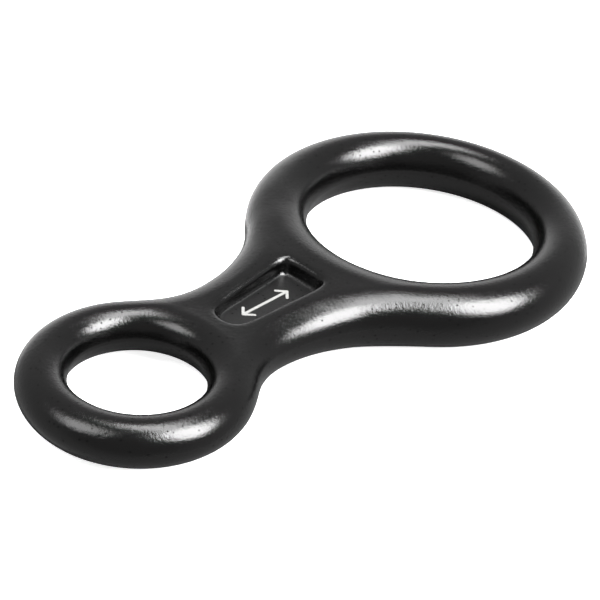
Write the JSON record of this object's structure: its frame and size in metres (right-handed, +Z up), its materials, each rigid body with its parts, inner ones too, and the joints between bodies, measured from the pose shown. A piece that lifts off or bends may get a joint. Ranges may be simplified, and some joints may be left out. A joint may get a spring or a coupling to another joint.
{
  "type": "figure-eight descender",
  "caption": "One-piece figure-eight belay and descent device with a large rope eye, a small connector eye and a recessed web between them.",
  "frame": {"origin": "under the middle of the overall length, on the plane of the face that it lies on", "axes": "+X from the small eye to the large eye, +Z up out of the face that it lies on, both eyes open along Z"},
  "size_m": [0.14, 0.0728, 0.0128],
  "materials": {
    "black_anodised_aluminium": "satin",
    "white_marking_ink": "matt"
  },
  "bodies": {
    "root": {"figure_eight_body": "black_anodised_aluminium", "load_mark": "white_marking_ink"}
  },
  "joints": []
}
